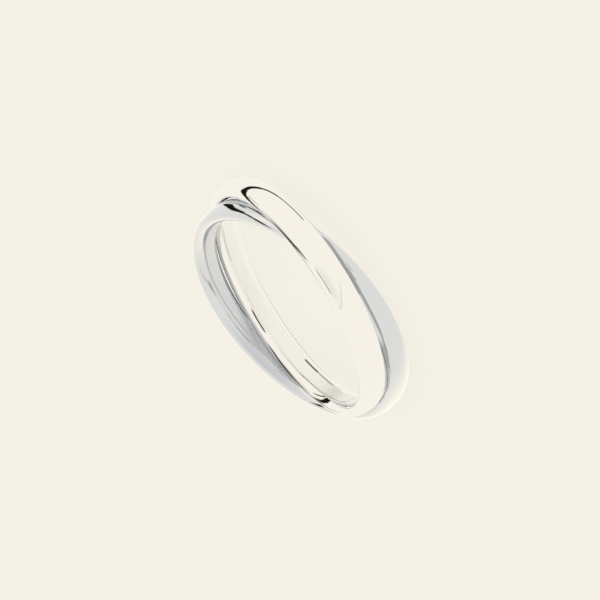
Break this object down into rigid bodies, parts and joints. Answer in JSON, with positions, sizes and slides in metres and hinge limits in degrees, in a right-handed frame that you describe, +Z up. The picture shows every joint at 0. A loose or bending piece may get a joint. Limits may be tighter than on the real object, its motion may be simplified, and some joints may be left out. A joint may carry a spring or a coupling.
{
  "type": "toe ring",
  "caption": "Toe ring made of interlocked plain round bands with domed outsides, mirror polished, that cross each other and nest side by side.",
  "frame": {"origin": "on the surface that the ring lies on, under the middle of the toe opening", "axes": "+Z up out of the toe opening, +X along the line through both crossings towards the one where the front band passes outside"},
  "size_m": [0.0192, 0.018, 0.0041],
  "materials": {
    "bright_silver": "mirror polished bright silver with fine wiping marks",
    "grey_silver": "mirror polished silver of a cooler, greyer tone with fine wiping marks"
  },
  "bodies": {
    "rear_band": {"rear_band": "grey_silver"},
    "front_band": {"front_band": "bright_silver"}
  },
  "joints": [
    {"name": "swing", "type": "hinge", "parent": "rear_band", "child": "front_band", "pos_m": [0, 0, 0.00204], "axis": [-1, 0, 0], "range_deg": [0, 152]}
  ]
}
